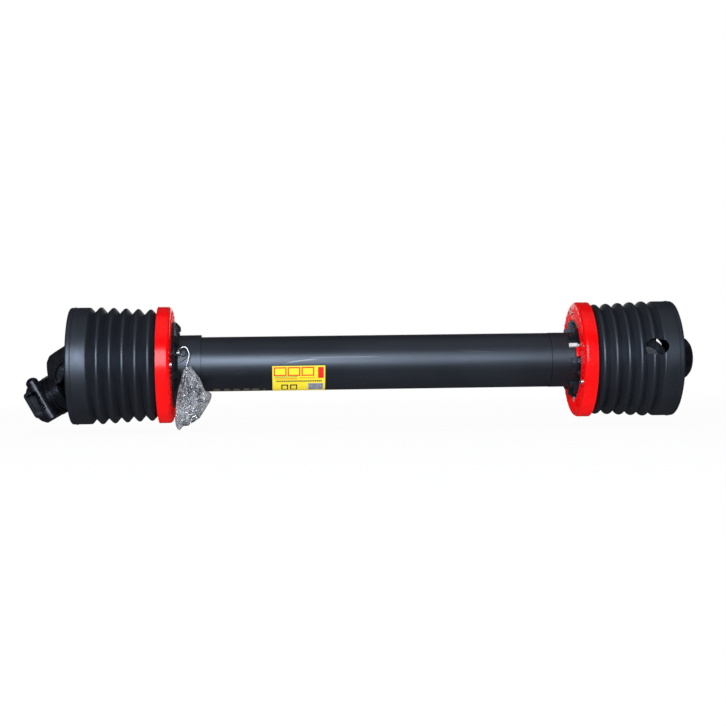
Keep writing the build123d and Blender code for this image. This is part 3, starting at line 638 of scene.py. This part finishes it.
# the chains' routes: x, distance from the bag's middle plane, z
UPPER_ROUTE = [(-252, -2.6, -34), (-247, 2, -32), (-243, -2, -38), (-249, -3.4, -42), (-253, 1.5, -46),
               (-246, 3, -48), (-243.5, -3, -52), (-250, -2.2, -55), (-253.5, 2, -58)]
LOWER_ROUTE = [(-253, -2.2, -62), (-246, -3.4, -63), (-239, -3, -61), (-233, 1, -60), (-233, -2.6, -66),
               (-240, -3.6, -69), (-247, 1, -68), (-252.5, -2.2, -71), (-250, 2, -76), (-243, -2.4, -74),
               (-237, 1.5, -72)]


def link_line():
    """Centre line of one oval link, lying along x."""
    r = LINK_WIDTH / 2
    run = LINK_LENGTH / 2 - r
    steps = 24
    line = []
    for k in range(steps):
        a = 2 * pi * k / steps
        line.append(Vector((r * cos(a) + (run if cos(a) >= 0 else -run), r * sin(a), 0)))
    return line


def chain(route, tilt):
    """Links along a route, each turned a quarter from the one before and a little askew."""
    line = curve_through([(x, BAG_Y + off, z) for x, off, z in route], 24)
    places = []
    walked = 0.0
    for a, b in zip(line, line[1:]):
        walked += (b - a).length
        if walked >= LINK_PITCH:
            walked -= LINK_PITCH
            places.append((b, (b - a).normalized()))
    verts, faces = tube_along(link_line(), LINK_WIRE, 8, closed=True)
    parts = []
    for i, (spot, along) in enumerate(places):
        turn = along.to_track_quat("X", "Y").to_matrix().to_4x4()
        askew = 14 * sin(2.3 * i)
        roll = Matrix.Rotation(radians(tilt + 90 * (i % 2) + askew), 4, "X")
        place = Matrix.Translation(spot) @ turn @ roll
        parts.append(([place @ v * MM for v in verts], faces))
    return gather(parts)


links = gather([chain(UPPER_ROUTE, 35), chain(LOWER_ROUTE, 50)])
chains = piece("retaining_chains", *links, ZINC, "guard_outer", "zinc_steel")
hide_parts("guard_chains")

# ---- film bag ----------------------------------------------------------------------------------
# the bag's outline from its tied neck round to the right, x and z
OUTLINE = [(-251.6, -10.0), (-249.6, -4.6), (-247.3, -1.6), (-241.8, -1.6), (-239.8, -4.4),
           (-235.2, -10.0), (-230.6, -16.2), (-227.6, -22.7), (-225.4, -29.1), (-222.7, -33.6),
           (-217.8, -35.6), (-214.9, -38.9), (-215.6, -44.1), (-217.8, -49.0), (-221.1, -54.5),
           (-224.7, -60.1), (-228.4, -65.7), (-232.7, -70.3), (-238.0, -73.5), (-243.2, -76.1),
           (-248.1, -77.7), (-252.4, -79.8), (-254.9, -82.6), (-256.8, -84.2), (-259.4, -82.2),
           (-261.1, -78.4), (-262.2, -72.4), (-262.3, -67.2), (-261.8, -60.8), (-261.2, -54.4),
           (-259.8, -44.1), (-257.9, -32.5), (-255.5, -24.2), (-253.4, -15.9)]


def triangulated(edge, step):
    """Points and triangles that fill a closed outline with an even net."""
    count = len(edge)
    spots = list(edge)
    xs, zs = [p.x for p in edge], [p.y for p in edge]
    row, z = 0, min(zs)
    while z < max(zs):
        x = min(xs) + (step / 2 if row % 2 else 0)
        while x < max(xs):
            spots.append(Vector((x, z)))
            x += step
        z += step * 0.87
        row += 1
    loops = [(i, (i + 1) % count) for i in range(count)]
    inside_only, tolerance = 1, 1e-5
    points, _, faces, *_ = delaunay_2d_cdt(spots, loops, [tuple(range(count))], inside_only, tolerance)
    return points, faces


def to_outline(p, edge):
    """Distance from a point to the nearest side of the outline."""
    gaps = []
    for a, b in zip(edge, edge[1:] + edge[:1]):
        share = (p - a).dot(b - a) / (b - a).length_squared
        gaps.append((p - (a + (b - a) * max(0, min(1, share)))).length)
    return min(gaps)


def film_offset(p, sign, edge):
    """How far one of the two sheets stands off the bag's middle plane: stuffed, pleated below
    the neck, crumpled, with sharp creases, and both sheets together at the sealed edge."""
    fullness, pleat_height, crumple_height, crease_depth, most = 5.6, 1.9, 2.2, 3.2, 7.9
    sealed_width, pleats, pleat_reach, creased, neck_share = 7.0, 26, 52, 0.07, 0.35
    fill = min(1.0, to_outline(p, edge) / sealed_width) ** 0.55
    from_neck = Vector((p.x - BAG_NECK[0], p.y - BAG_NECK[1]))
    away = from_neck.length
    fan = atan2(from_neck.x, -from_neck.y)
    where = Vector((p.x * 0.11, p.y * 0.11, 3.0 * sign))
    pleat = sin(pleats * fan + 2.2 * noise.noise(where) + sign)
    pleat *= max(0.0, 1 - away / pleat_reach) * min(1, away / 10)
    crumple = noise.ridged_multi_fractal(where * 0.7, 0.9, 2.1, 3, 1.0, 2.0) - 1.1
    nearest, second = noise.voronoi(Vector((p.x * 0.15, p.y * 0.15, 7.0 + sign)))[0][:2]
    depth = fill * (fullness + pleat_height * pleat + crumple_height * crumple
                    - crease_depth * (second - nearest < creased) + 1.7 * (nearest - 0.5)
                    + 0.6 * noise.noise(where * 5))
    depth = max(0.0, min(most, depth)) * min(1.0, neck_share + away / 45)
    wavy_seam = 0.7 * noise.noise(Vector((p.x * 0.25, p.y * 0.25, 1.0)))
    return sign * depth + wavy_seam * (1 - fill)


def film_bag():
    """Two crumpled sheets that meet along the bag's outline."""
    edge = [Vector((p.x, p.y)) for p in curve_through([(x, z, 0) for x, z in OUTLINE], 6, closed=True)]
    points, faces = triangulated(edge, step=0.85)
    sheets = []
    for sign in (-1, 1):
        verts = [Vector((p.x, BAG_Y + film_offset(p, sign, edge), p.y)) * MM for p in points]
        sheets.append((verts, [face if sign > 0 else tuple(reversed(face)) for face in faces]))
    made = piece("film_bag", *gather(sheets), FILM, "guard_outer", "clear_film")
    mesh = bmesh.new()
    mesh.from_mesh(made.data)
    bmesh.ops.remove_doubles(mesh, verts=mesh.verts, dist=1e-6)
    bmesh.ops.recalc_face_normals(mesh, faces=mesh.faces)
    mesh.to_mesh(made.data)
    mesh.free()
    return made


bag = film_bag()
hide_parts("chain_bag")


# ---- yokes: web in the left fork's throat, and the push pins' springs --------------------------
def yoke_place(end, *turns):
    """From an outer yoke's own axes, whose hub lies along +x from the cross, to the row frame, in mm."""
    place = Matrix.Translation(Vector(joints[f"{end}_bend"]["pos_m"]) / MM)
    for angle, axis in turns:
        place = place @ Matrix.Rotation(radians(angle), 4, axis)
    return place


LEFT_YOKE = yoke_place("left", (-LEFT_DROOP, "Y"), (180 - LEFT_TURN, "Z"))
RIGHT_YOKE = yoke_place("right", (RIGHT_TURN, "Z"))
THROAT_HALF_WIDTH = 13.0
# x and z of the web's outline
THROAT_CORNER = [(64.5, 9.0), (58.0, 11.0), (52.5, 15.0), (47.5, 20.0), (44.0, 26.0), (41.5, 31.5),
                 (64.5, 31.5)]
PIN_SIDE = 21.5  # the pin's axis, off to the side of the bore
SPRING_LOW, SPRING_HIGH, SPRING_RADIUS, WIRE_RADIUS = -22.0, -5.0, 4.9, 0.58


def throat_web():
    """Fills the corner of the fork's throat under its upper arm."""

    def place(sign, corner):
        x, z = corner
        return LEFT_YOKE @ Vector((x, THROAT_HALF_WIDTH * sign, z)) * MM

    moulded("left_throat_web", [prism(THROAT_CORNER, place)], PAINT, "left_yoke", "black_paint",
            edge=1.5, segments=3)


def return_spring(end, place, pin_x):
    """The coil round a push pin, made at its free length."""
    turns, steps, end_gap = 5, 20, 0.6
    free = SPRING_HIGH - SPRING_LOW
    coil = []
    for k in range(turns * steps + 1):
        a = 2 * pi * k / steps
        x, y = pin_x + SPRING_RADIUS * cos(a), PIN_SIDE + SPRING_RADIUS * sin(a)
        z = SPRING_LOW + end_gap + (free - 2 * end_gap) * k / (turns * steps)
        coil.append(place @ Vector((x, y, z)) * MM)
    spring = piece(f"{end}_return_spring", *tube_along(coil, WIRE_RADIUS * MM, 10), BARE_STEEL,
                   f"{end}_yoke", "bare_steel")
    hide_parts(f"{end}_pin_spring")
    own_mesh(spring)


throat_web()
return_spring("left", LEFT_YOKE, pin_x=91.5)
return_spring("right", RIGHT_YOKE, pin_x=56.5)


# ---- floor, light and camera, in metres --------------------------------------------------------
def ground():
    """A pale floor just under the bag. It mostly glows by itself, so that little shade shows near
    the object and none further out."""
    p = Paint("floor")
    x, y, _ = p.xyz()
    away = p.math("SQRT", p.plus(p.times(x, x), p.times(y, y)))
    glow = p.node("ShaderNodeEmission")
    glow.inputs["Color"].default_value = (1, 1, 1, 1)
    glow.inputs["Strength"].default_value = 1.0
    p.set(colour=p.mix(p.noise(3.0), (0.86, 0.86, 0.86), (0.88, 0.88, 0.88)), rough=0.9, specular=0.0)
    blend = p.node("ShaderNodeMixShader")
    p.link(p.ramp(away, 0.7, 2.2, 0.95), blend.inputs[0])
    p.link(p.shader.outputs[0], blend.inputs[1])
    p.link(glow.outputs[0], blend.inputs[2])
    p.link(blend.outputs[0], p.output.inputs["Surface"])
    half, gap = 40.0, 0.0023
    corners = [(-half, -half, 0), (half, -half, 0), (half, half, 0), (-half, half, 0)]
    mesh = bpy.data.meshes.new("floor")
    mesh.from_pydata(corners, [], [(0, 1, 2, 3)])
    mesh.materials.append(p.material)
    made = bpy.data.objects.new("floor", mesh)
    made.location.z = CAD_BOX[0][2] - gap
    made.visible_glossy = False
    scene.collection.objects.link(made)


def softbox(name, place, aim, wide, high, power, tint=(1, 1, 1), glossy=True):
    """A soft area light that the camera doesn't see; one that isn't glossy gives no reflection."""
    data = bpy.data.lights.new(name, "AREA")
    data.shape, data.size, data.size_y, data.energy, data.color = "RECTANGLE", wide, high, power, tint
    made = bpy.data.objects.new(name, data)
    made.location = place
    made.rotation_euler = (Vector(aim) - Vector(place)).to_track_quat("-Z", "Y").to_euler()
    made.visible_camera, made.visible_glossy = False, glossy
    scene.collection.objects.link(made)


def studio_world():
    """A faint cool fill for the object, and plain white behind it."""
    world = bpy.data.worlds.new("studio")
    world.use_nodes = True
    tree = world.node_tree
    fill = tree.nodes["Background"]
    fill.inputs["Color"].default_value = (0.62, 0.65, 0.70, 1)
    fill.inputs["Strength"].default_value = 0.07
    white = tree.nodes.new("ShaderNodeBackground")
    white.inputs["Color"].default_value = (1, 1, 1, 1)
    rays = tree.nodes.new("ShaderNodeLightPath")
    pick = tree.nodes.new("ShaderNodeMixShader")
    tree.links.new(rays.outputs["Is Camera Ray"], pick.inputs[0])
    tree.links.new(fill.outputs[0], pick.inputs[1])
    tree.links.new(white.outputs[0], pick.inputs[2])
    tree.links.new(pick.outputs[0], tree.nodes["World Output"].inputs["Surface"])
    return world


def camera(place, yaw, roll, focal_length):
    """A camera that looks level along +Y, turned to the right by yaw and rolled by roll."""
    forward = Vector((sin(yaw), cos(yaw), 0))
    right = Vector((cos(yaw), -sin(yaw), 0))
    up = Vector((0, 0, 1))
    image_right = right * cos(roll) - up * sin(roll)
    image_up = right * sin(roll) + up * cos(roll)
    lens = bpy.data.cameras.new("camera")
    lens.lens, lens.sensor_width, lens.clip_start, lens.clip_end = focal_length, 36.0, 0.05, 100.0
    made = bpy.data.objects.new("camera", lens)
    basis = Matrix((image_right, image_up, -forward)).transposed().to_4x4()
    made.matrix_world = Matrix.Translation(Vector(place)) @ basis
    scene.collection.objects.link(made)
    return made


ground()
softbox("overhead", (0.0, -0.35, 2.1), (0, 0, 0), 3.2, 2.2, 20.0, glossy=False)
softbox("overhead_sheen", (0.0, -0.35, 2.12), (0, 0, 0), 3.2, 2.2, 4.0)
softbox("front", (-0.50, -2.1, 0.52), (-0.1, 0, 0), 1.9, 1.15, 56.0, (0.86, 0.92, 1.0))
softbox("back", (0.2, 2.0, 1.5), (0, 0, 0), 2.2, 0.9, 16.0, glossy=False)
softbox("back_sheen", (0.1, 2.3, 0.40), (0, 0, 0), 1.7, 0.6, 3.5)
scene.world = studio_world()
scene.view_settings.view_transform = "Standard"
scene.camera = camera((-0.1394, -1.9651, -0.001), radians(3.6), radians(0.78), focal_length=73.39)
